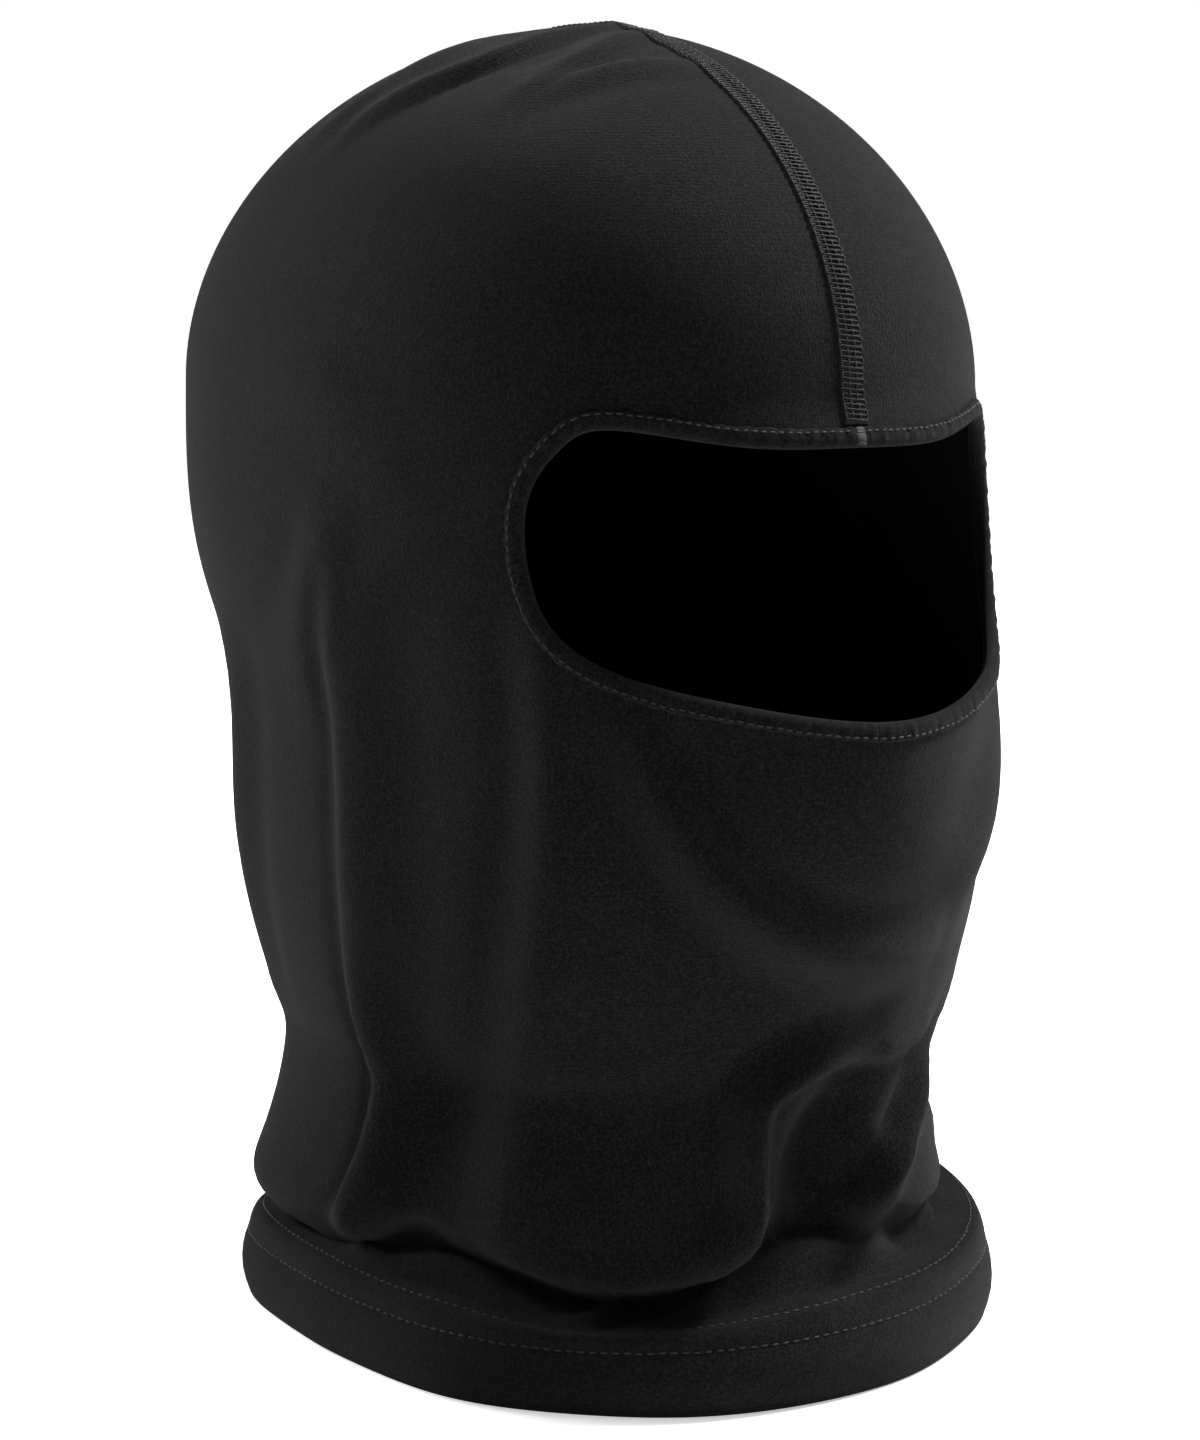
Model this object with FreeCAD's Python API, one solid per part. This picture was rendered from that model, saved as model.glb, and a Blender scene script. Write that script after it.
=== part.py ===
import FreeCAD, Part

import math
import os
from collections import namedtuple
from functools import lru_cache

# A knitted jersey balaclava, open at the eyes, in the shape it has when worn, standing on its hem.
# Millimetres. The face looks along -Y, the crown is at +Z, the wearer's left is at +X, and the hood
# is symmetric about X = 0. The origin is under the middle of the hood, on the plane of the hem.

Vector = FreeCAD.Vector

# ---- Size chart: the outer face at each level, from the hem up to the temples -----------------
# front and back are reaches from the line between the ears. front_fullness is the exponent of the
# curve round the face: 2 is an ellipse, less is more pointed, more is squarer.
Level = namedtuple("Level", "height half_width front back front_fullness")
hem_edge = Level(0.0, 79.0, 105.0, 71.0, 2.2)
hem_top = Level(25.0, 76.0, 101.0, 71.0, 2.0)
neck = Level(48.0, 69.0, 97.0, 64.0, 1.8)
throat = Level(75.0, 73.0, 99.0, 62.0, 1.9)
chin = Level(110.0, 77.0, 112.0, 74.0, 1.85)
lips = Level(140.0, 77.0, 116.0, 82.0, 1.85)
cheeks = Level(165.0, 80.0, 111.0, 93.0, 1.95)
temples = Level(205.0, 79.0, 99.0, 99.0, 2.15)
size_chart = [hem_edge, hem_top, neck, throat, chin, lips, cheeks, temples]
back_fullness = 2.25
widest_place = 0.55             # share of the way from front to back at which a level is widest
crown_height = 283.0
crown_fullness = 1.93           # exponent of the dome from the temples to the crown
dome_angles = [15, 30, 45, 58, 70, 79, 84]

# ---- Fabric ------------------------------------------------------------------------------------
fabric = 1.1                    # brushed jersey
thread = 0.25                   # flattened overlock thread
hem_turn_up = 19.4
seam_butt_gap = 0.3             # between the two edges of the panel that meet in the seam

# ---- Face opening ------------------------------------------------------------------------------
brow_height = 195.0
lip_height = 142.0
opening_half_width = 59.5
# Half of the outline, from the middle of the brow to the middle of the lower lip, as shares of
# the half width and of the height from lip to brow.
outline_shape = [(0.0, 1.0), (0.42, 1.01), (0.76, 1.07), (0.89, 1.02), (0.97, 0.87), (1.0, 0.66),
                 (0.97, 0.40), (0.84, 0.20), (0.60, 0.10), (0.30, 0.03), (0.0, 0.0)]
side_slant = 0.72               # how narrow a strip beside the opening looks from straight ahead
binding_width = 4.0
binding_fabric = 0.8
elastic_thickness = 0.5
elastic_inset = 1.2             # from the edge of the opening to the elastic
elastic_margin = 0.4            # from the elastic to the outer side of the binding
binding_stitch_margin = 0.7     # from the row of stitches to the outer side of the binding
binding_looper_width = 1.6
binding_join_gap = 0.2          # between the two ends of the bound edge, at the middle of the brow
bartack_width = 3.0             # row of stitches that ties the two ends together

# ---- Flat seam over the crown and down the back ------------------------------------------------
seam_width = 5.8
seam_needles = 4
needle_thread_width = 0.5

# ---- Twin row of stitches round the hem ----------------------------------------------------------
hem_stitch_spacing = 6.4
raw_edge_cover = 1.4            # how far the upper row stands above the raw edge of the turn-up

# ---- Care label, blank, inside the back of the neck ----------------------------------------------
label_width = 24.0
label_height = 30.0
label_bottom = 52.0
label_thickness = 0.3
label_stitch_inset = 1.5

far = 400.0                     # past everything, for cutting blocks
fix_precision = 1e-6            # for joining the faces of a solid
fix_tolerance = 1e-4

widest_front = max(level.front for level in size_chart)
widest_back = max(level.back for level in size_chart)
centre_shift = (widest_front - widest_back) / 2     # puts the hood's middle over the origin
opening_middle = (brow_height + lip_height) / 2       # half way up the face opening


def bent(value, fullness):
    """Point of a rounded section: the sign and bulge of one coordinate."""
    return math.copysign(abs(value) ** (2 / fullness), value)


def loop(points, pieces):
    """Closed smooth wire through points, made of a number of edges, so that faces stay small."""
    spots = [float(number) for number in range(len(points) + 1)]
    curve = Part.BSplineCurve()
    curve.interpolate(Points=points, PeriodicFlag=True, Parameters=spots)
    stride = len(points) / pieces
    edges = [curve.toShape(piece * stride, (piece + 1) * stride) for piece in range(pieces)]
    return Part.Wire(edges)


def section(height, half_width, front, back, front_fullness):
    """Closed smooth wire round the hood at one height."""
    front_y = centre_shift - front
    back_y = centre_shift + back
    middle = front_y + (back_y - front_y) * widest_place
    count = 24
    points = []
    for step in range(count):
        angle = 2 * math.pi * step / count + math.pi / 4
        cosine = math.cos(angle)
        sine = math.sin(angle)
        if sine < 0:
            reach = middle - front_y
            fullness = front_fullness
        else:
            reach = back_y - middle
            fullness = back_fullness
        x = half_width * bent(cosine, fullness)
        y = middle + reach * bent(sine, fullness)
        points.append(Vector(x, y, height))
    return loop(points, 4)


@lru_cache(maxsize=None)
def body(depth):
    """Solid filling the hood up to the face that lies depth under its outer face."""
    wires = []
    for level in size_chart:
        wires.append(section(level.height, level.half_width - depth, level.front - depth,
                             level.back - depth, level.front_fullness))
    rise = crown_height - depth - temples.height
    for degrees in dome_angles:
        angle = math.radians(degrees)
        shrink = math.cos(angle) ** (2 / crown_fullness)
        height = temples.height + rise * math.sin(angle) ** (2 / crown_fullness)
        centre = (temples.back - temples.front) / 2
        reach = (temples.back + temples.front) / 2 - depth
        wires.append(section(height, (temples.half_width - depth) * shrink, reach * shrink - centre,
                             reach * shrink + centre, temples.front_fullness))
    return Part.makeLoft(wires, True, False)


def wall(outer, inner):
    """Solid between two nested solids that stand on the same plane, open underneath."""
    faces = []
    rims = []
    for solid in (outer, inner):
        floor = min(solid.Faces, key=lambda face: face.CenterOfMass.z)
        rims.append(floor.OuterWire)
        faces += [face for face in solid.Faces if not face.isSame(floor)]
    rim = Part.Face(rims)
    rim.validate()
    closed = Part.Solid(Part.Shell(faces + [rim]))
    closed.fix(fix_precision, fix_precision, fix_tolerance)
    return closed


@lru_cache(maxsize=None)
def layer(outer_depth, inner_depth):
    """Sheet of the hood between two depths, open at the hem."""
    return wall(body(outer_depth), body(inner_depth))


def block(low_x, high_x, low_y, high_y, low_z, high_z):
    corner = Vector(low_x, low_y, low_z)
    return Part.makeBox(high_x - low_x, high_y - low_y, high_z - low_z, corner)


def band(low_z, high_z):
    """Everything between two heights."""
    return block(-far, far, -far, far, low_z, high_z)


@lru_cache(maxsize=None)
def opening_prism(margin):
    """Everything in front of the ears inside the face opening grown by margin."""
    height = brow_height - lip_height
    half = [(x * opening_half_width, lip_height + z * height) for x, z in outline_shape]
    points = [Vector(x, 0, z) for x, z in half]
    points += [Vector(-x, 0, z) for x, z in reversed(half[1:-1])]
    outline = loop(points, len(points) // 2)
    if margin:
        moved = []
        for edge in outline.Edges:
            for share in (0.0, 0.5):
                spot = edge.FirstParameter + (edge.LastParameter - edge.FirstParameter) * share
                along = edge.tangentAt(spot)
                place = edge.valueAt(spot)
                moved.append(Vector(place.x - along.z * margin * side_slant, 0, place.z + along.x * margin))
        outline = loop(moved, len(moved) // 2)
    face = Part.Face(outline)
    face.translate(Vector(0, centre_shift, 0))
    return face.extrude(Vector(0, -far, 0))


def opening_ring(inner_margin, outer_margin):
    """Everything between two outlines of the face opening, parted at the middle of the brow."""
    join = block(-binding_join_gap / 2, binding_join_gap / 2, -far, centre_shift, opening_middle, far)
    return opening_prism(outer_margin).cut(opening_prism(inner_margin)).cut(join)


def seam_strip(centre_x, width):
    """Slab along the seam: from the brow over the crown and down the back to the hem."""
    slab = block(centre_x - width / 2, centre_x + width / 2, -far, far, 0, far)
    face_side = block(-far, far, -far, centre_shift, 0, opening_middle)
    return slab.cut(face_side).cut(opening_prism(binding_width))


def save(node, shape):
    """Write one sub-part."""
    solids = shape.Solids
    result = solids[0] if len(solids) == 1 else Part.makeCompound(solids)
    result.exportStep("parts/" + node + ".step")
    state = "valid" if result.isValid() else "NOT VALID"
    print(node, len(solids), "solids", round(result.Volume, 1), "mm3", state)


os.makedirs("parts", exist_ok=True)

# ---- Depths of the stacked layers, counted inwards from the outer face ---------------------------
lining_face = fabric
elastic_face = fabric + elastic_thickness
binding_inner_face = elastic_face + binding_fabric
looper_face = fabric + thread
label_face = looper_face + label_thickness
hem_inner_face = 2 * fabric
binding_face = -binding_fabric
clear = 1.0                     # how far a cutting shape runs past the piece that it cuts

# ---- Hood panel: one piece of jersey, its hem turned up inside -----------------------------------
hem_space = body(hem_inner_face).common(band(0, hem_turn_up))
head_space = body(lining_face).common(band(hem_turn_up, far))
hood_panel = wall(body(0), hem_space.fuse(head_space))
hood_panel = hood_panel.cut(opening_prism(binding_fabric))
hood_panel = hood_panel.cut(seam_strip(0, seam_butt_gap))
save("hood_panel", hood_panel)

# ---- Bound edge of the face opening: elastic inside, strip round it, one row of stitches ---------
elastic_ring = opening_ring(elastic_inset, binding_width - elastic_margin)
face_elastic = layer(lining_face, elastic_face).common(elastic_ring)
save("face_elastic", face_elastic)

face_binding = layer(binding_face, binding_inner_face).common(opening_ring(0, binding_width))
binding_pocket = layer(0, elastic_face).common(opening_ring(binding_fabric, binding_width + clear))
face_binding = face_binding.cut(binding_pocket)
save("face_binding", face_binding)

stitch_far_side = binding_width - binding_stitch_margin
stitch_near_side = stitch_far_side - needle_thread_width
stitch_ring = opening_ring(stitch_near_side, stitch_far_side)
binding_needle_thread = layer(binding_face - thread, binding_face).common(stitch_ring)
save("binding_needle_thread", binding_needle_thread)

looper_ring = opening_ring(stitch_far_side - binding_looper_width, stitch_far_side)
binding_looper_thread = layer(binding_inner_face, binding_inner_face + thread).common(looper_ring)
save("binding_looper_thread", binding_looper_thread)

bartack_spot = block(-bartack_width / 2, bartack_width / 2, -far, centre_shift, opening_middle, far)
bartack_spot = bartack_spot.common(opening_prism(binding_width - thread)).cut(opening_prism(thread))
binding_join_bartack = layer(binding_face - 2 * thread, binding_face).common(bartack_spot)
stitch_groove = opening_prism(stitch_far_side).cut(opening_prism(stitch_near_side))
stitch_groove = layer(binding_face - thread, binding_face + thread).common(stitch_groove)
binding_join_bartack = binding_join_bartack.cut(stitch_groove)
save("binding_join_bartack", binding_join_bartack)

# ---- Flat seam: cover thread, needle threads over it, looper thread inside -----------------------
seam_cover_thread = layer(-thread, 0).common(seam_strip(0, seam_width))
save("seam_cover_thread", seam_cover_thread)

needle_layer = layer(-2 * thread, -thread)
needle_spacing = (seam_width - needle_thread_width) / (seam_needles - 1)
needle_rows = []
for row in range(seam_needles):
    row_x = (row - (seam_needles - 1) / 2) * needle_spacing
    needle_rows.append(needle_layer.common(seam_strip(row_x, needle_thread_width)))
save("seam_needle_threads", Part.makeCompound(needle_rows))

hem_upper_row = hem_turn_up + raw_edge_cover
hem_lower_row = hem_upper_row - hem_stitch_spacing
hem_looper_top = hem_upper_row + needle_thread_width
seam_looper_thread = layer(lining_face, looper_face).common(seam_strip(0, seam_width))
seam_looper_thread = seam_looper_thread.common(band(hem_looper_top, far))
save("seam_looper_thread", seam_looper_thread)

# ---- Hem: two needle threads outside, hopping over the seam, and one looper thread inside --------
under_hop = block(-seam_width / 2, seam_width / 2, centre_shift, far, 0, far)
hop_half = seam_width / 2 + thread
hop = block(-hop_half, hop_half, centre_shift, far, 0, far)
for place, height in (("lower", hem_lower_row), ("upper", hem_upper_row)):
    row_band = band(height, height + needle_thread_width)
    on_fabric = layer(-thread, 0).common(row_band).cut(hop)
    over_seam = layer(-3 * thread, 0).common(row_band.common(hop))
    over_seam = over_seam.cut(layer(-2 * thread, clear).common(row_band.common(under_hop)))
    save("hem_needle_thread_" + place, on_fabric.fuse(over_seam))

on_turn_up = layer(hem_inner_face, hem_inner_face + thread).common(band(hem_lower_row, hem_turn_up))
over_raw_edge = layer(lining_face, hem_inner_face + thread).common(band(hem_turn_up, hem_looper_top))
save("hem_looper_thread", on_turn_up.fuse(over_raw_edge))

# ---- Care label ----------------------------------------------------------------------------------
label_top = label_bottom + label_height
label_spot = block(-label_width / 2, label_width / 2, centre_shift, far, label_bottom, label_top)
care_label = layer(looper_face, label_face).common(label_spot)
save("care_label", care_label)

stitch_half = label_width / 2 - label_stitch_inset
stitch_top = label_top - label_stitch_inset
stitch_bottom = stitch_top - needle_thread_width
stitch_spot = block(-stitch_half, stitch_half, centre_shift, far, stitch_bottom, stitch_top)
care_label_stitch = layer(label_face, label_face + thread).common(stitch_spot)
save("care_label_stitch", care_label_stitch)
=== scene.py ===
import math

import bmesh
import bpy
import numpy as np
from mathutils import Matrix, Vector
from mathutils.bvhtree import BVHTree


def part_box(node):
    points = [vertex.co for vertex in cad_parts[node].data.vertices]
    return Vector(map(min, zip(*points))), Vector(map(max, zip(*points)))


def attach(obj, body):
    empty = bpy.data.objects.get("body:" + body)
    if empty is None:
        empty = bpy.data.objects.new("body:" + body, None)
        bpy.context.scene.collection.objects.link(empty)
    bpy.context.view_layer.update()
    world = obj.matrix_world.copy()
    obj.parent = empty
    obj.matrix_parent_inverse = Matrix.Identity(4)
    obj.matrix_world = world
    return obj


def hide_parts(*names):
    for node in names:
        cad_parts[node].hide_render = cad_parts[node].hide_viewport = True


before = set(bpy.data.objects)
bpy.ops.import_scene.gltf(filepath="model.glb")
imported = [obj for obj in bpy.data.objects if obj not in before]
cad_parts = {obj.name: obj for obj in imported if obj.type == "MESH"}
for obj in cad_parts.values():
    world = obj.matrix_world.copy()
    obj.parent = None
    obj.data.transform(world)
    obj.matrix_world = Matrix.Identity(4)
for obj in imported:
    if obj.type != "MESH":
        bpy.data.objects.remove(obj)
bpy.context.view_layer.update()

# ==== Hood panel ====================================================================================
# One piece of brushed stretch jersey, knitted fine and dyed black. It is folded down the middle, so
# that only the crown and the back carry a seam, and its neck end is turned up inside as a hem.
# It is worn here: tight over the skull, loose at the throat, and slumped on its own hem.

# Chart millimetres to metres: the drawn hood is this much of the chart's height.
chart_height = 282.6
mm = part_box("hood_panel")[1][2] / chart_height

# height, half width, reach forwards, reach backwards, fullness of the curve round the face
levels = np.array([
    (0, 79, 105, 71, 2.2),
    (25, 76, 101, 71, 2.0),
    (48, 69, 97, 64, 1.8),
    (75, 73, 99, 62, 1.9),
    (110, 77, 112, 74, 1.85),
    (140, 77, 116, 82, 1.85),
    (165, 80, 111, 93, 1.95),
    (205, 79, 99, 99, 2.15),
], float)
middle_shift = (levels[:, 2].max() - levels[:, 3].max()) / 2
back_fullness = 2.25
temple_height = 205.0
crown_height = 283.0
crown_fullness = 1.93
dome_length = 125.0             # along the hood from the temples to the top of the crown
crown_top = temple_height + dome_length


def spline(knots, values):
    """Smooth curve through values at knots; values may have more columns."""
    knots = np.asarray(knots, float)
    values = np.asarray(values, float)
    flat = values.reshape(len(knots), -1)
    gap = np.diff(knots)
    slope = np.diff(flat, axis=0) / gap[:, None]
    matrix = np.eye(len(knots))
    side = np.zeros_like(flat)
    for i in range(1, len(knots) - 1):
        matrix[i, i - 1:i + 2] = gap[i - 1], 2 * (gap[i - 1] + gap[i]), gap[i]
        side[i] = 6 * (slope[i] - slope[i - 1])
    bend = np.linalg.solve(matrix, side)

    def at(where):
        where = np.asarray(where, float)
        i = np.clip(np.searchsorted(knots, where.ravel()) - 1, 0, len(gap) - 1)
        h = gap[i][:, None]
        a = (knots[i + 1] - where.ravel())[:, None]
        b = (where.ravel() - knots[i])[:, None]
        out = (bend[i] * a ** 3 + bend[i + 1] * b ** 3) / (6 * h)
        out += (flat[i] / h - bend[i] * h / 6) * a + (flat[i + 1] / h - bend[i + 1] * h / 6) * b
        return out.reshape(where.shape + values.shape[1:])

    return at


def unit(vectors):
    """Vectors made one long."""
    return vectors / np.maximum(np.linalg.norm(vectors, axis=-1, keepdims=True), 1e-12)


def travelled(points):
    """Way gone along a line at each of its points."""
    return np.concatenate([[0], np.cumsum(np.linalg.norm(np.diff(points, axis=0), axis=1))])


chart = spline(levels[:, 0], levels[:, 1:])
face_bias = 0.1                 # how much nearer the back of the head its widest place lies


def bare_form(azimuth, length):
    """Hood before it folds. Azimuth is in degrees from the face towards the wearer's left."""
    azimuth, length = np.broadcast_arrays(np.asarray(azimuth, float), np.asarray(length, float))
    half, front, back, fullness = np.moveaxis(chart(np.clip(length, 0, temple_height)), -1, 0)
    turn = np.clip((length - temple_height) / dome_length, 0, 1) * math.pi / 2
    shrink = np.where(turn > 0, np.maximum(np.cos(turn), 1e-9) ** (2 / crown_fullness), 1)
    rise = (crown_height - temple_height) * np.sin(turn) ** (2 / crown_fullness)
    height = np.where(turn > 0, temple_height + rise, length)
    centre = middle_shift + (back - front) / 2
    reach = (back + front) / 2 * shrink
    half = half * shrink
    middle = centre + reach * face_bias
    angle = np.radians(azimuth)
    across = np.sin(angle)
    along = -np.cos(angle)
    depth = np.where(along < 0, reach * (1 + face_bias), reach * (1 - face_bias))
    power = np.where(along < 0, fullness, back_fullness)
    size = (np.abs(across) / half) ** power + (np.abs(along) / depth) ** power
    radius = size ** (-1 / power)
    return np.stack([radius * across, middle + radius * along, height], -1)


# How the slack lies over the hem, going round: inset from the hem's outside and height of the
# groove behind the hem, of the underside, the outside and the top of the slumped roll.
slump = np.array([
    (-150, (11, 18.5), (8, 21), (2.5, 27), (6, 38)),
    (-120, (12, 18.5), (8, 21.5), (1.8, 27.5), (5, 38)),
    (-85, (10, 19.5), (8.5, 22.5), (3.5, 28.5), (6, 39)),
    (-62, (9, 21.5), (13.5, 26), (8.5, 31.5), (9, 41)),
    (-44, (11, 18.5), (16, 21), (11.5, 25.5), (10, 35)),
    (-24, (11.5, 18), (17, 20), (12, 24), (10.5, 34)),
    (-6, (11, 22), (17, 28), (14.5, 35), (12, 43)),
    (14, (11, 20.5), (15, 25), (12.5, 31), (12, 41)),
    (38, (11.5, 19.5), (15, 23), (11.5, 28.5), (13, 39)),
    (65, (12, 20), (12, 24), (8.0, 31), (14, 42)),
    (100, (9, 20.5), (7, 24), (2.5, 31), (7, 42)),
    (145, (8, 20.5), (5.5, 24), (1, 30), (5, 41)),
    (180, (7, 20.5), (5, 24), (2, 30), (5.5, 41)),
], dtype=object)
slump_azimuth = np.array([row[0] for row in slump], float)
slump_points = np.array([[place for place in row[1:]] for row in slump], float)
wrapped_azimuth = np.concatenate([slump_azimuth - 360, slump_azimuth, slump_azimuth + 360])
slump_at = spline(wrapped_azimuth, np.concatenate([slump_points] * 3))

# The hem's own wall: length up the fabric, inset, height.
hem_stages = [(1.2, 0.2, 1.2), (5, -0.9, 5), (9.5, -0.9, 9.6), (14.4, 0.2, 14.4), (17.6, 1.1, 17.5),
              (20.8, 3.4, 20.0)]


# The hem doesn't lie in a true ring: pushed out and in, stood up and weighed down, and with its top edge
# rolled inwards at the wearer's right front. Each entry holds millimetres, azimuth and spread.
hem_pushes = [(2.6, -52, 28), (-1.4, 24, 22), (1.0, 150, 25), (-4.2, -152, 24)]
hem_rises = [(4.0, 82, 42), (-3.8, -146, 34), (-0.8, -35, 20)]
hem_roll = [(1.0, -33, 22)]
roll_start = 17.6


def swells(azimuth, entries):
    """Sum of smooth rises, each round one azimuth."""
    return sum(height * np.exp(-((azimuth - middle + 180) % 360 - 180) ** 2 / spread ** 2)
               for height, middle, spread in entries)


slump_lengths = [25.5, 30.5, 38.5, 48]
body_lengths = [59, 68, 77]
profile_end = body_lengths[-1]
lower_stitch = 14.4
upper_stitch = 20.8
stitch_pull = 0.35              # how deep the rows of stitches pull the hem in, and over what width
stitch_dent = 0.7
hem_waves = [(0.6, 3, 0.6), (0.4, 7, 2.1), (0.25, 12, 0)]      # height, number round the hem, start
wave_end = 60


def form(azimuth, length):
    """Hood with its hem and its slump, before the long folds."""
    azimuth, length = np.broadcast_arrays(np.asarray(azimuth, float), np.asarray(length, float))
    shape = azimuth.shape
    azimuth = azimuth.ravel()
    length = length.ravel()
    result = bare_form(azimuth, np.maximum(length, profile_end))
    low = length < profile_end
    if low.any():
        columns, which = np.unique(azimuth[low], return_inverse=True)
        ring = bare_form(columns, 0.0)
        angle = np.radians(columns)
        inward = np.stack([-np.sin(angle), np.cos(angle), np.zeros_like(angle)], -1)
        up = np.array([0, 0, 1.0])
        push = swells(columns, hem_pushes)
        rise = swells(columns, hem_rises)
        roll = swells(columns, hem_roll)
        stages = []
        for stage_length, inset, height in hem_stages:
            share = (stage_length / hem_stages[-1][0]) ** 1.5
            rolled = roll * max(stage_length - roll_start, 0)
            lifted = height + rise * share - 0.55 * rolled
            stages.append(ring + inward * (inset - push + 0.35 * rolled)[:, None] + up * lifted[:, None])
        slack = slump_at((columns + 180) % 360 - 180)
        for stage in range(4):
            fade = 1 - stage / 4
            stages.append(ring + inward * (slack[:, stage, :1] - (push * fade)[:, None])
                          + up * (slack[:, stage, 1:] + (rise * fade * 0.7)[:, None]))
        stages += [bare_form(columns, length_up) for length_up in body_lengths]
        knots = [stage[0] for stage in hem_stages] + slump_lengths + body_lengths
        profile = spline(knots, np.stack(stages))
        rows, row = np.unique(length[low], return_inverse=True)
        result[low] = profile(rows)[row, which]
    return result.reshape(shape + (3,))


def normals_of(surface, azimuth, length):
    """Outward normals of a surface function."""
    step_azimuth = 0.6
    step_length = 0.8
    around = surface(azimuth + step_azimuth, length) - surface(azimuth - step_azimuth, length)
    upward = surface(azimuth, length + step_length) - surface(azimuth, length - step_length)
    return unit(np.cross(around, upward))


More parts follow.
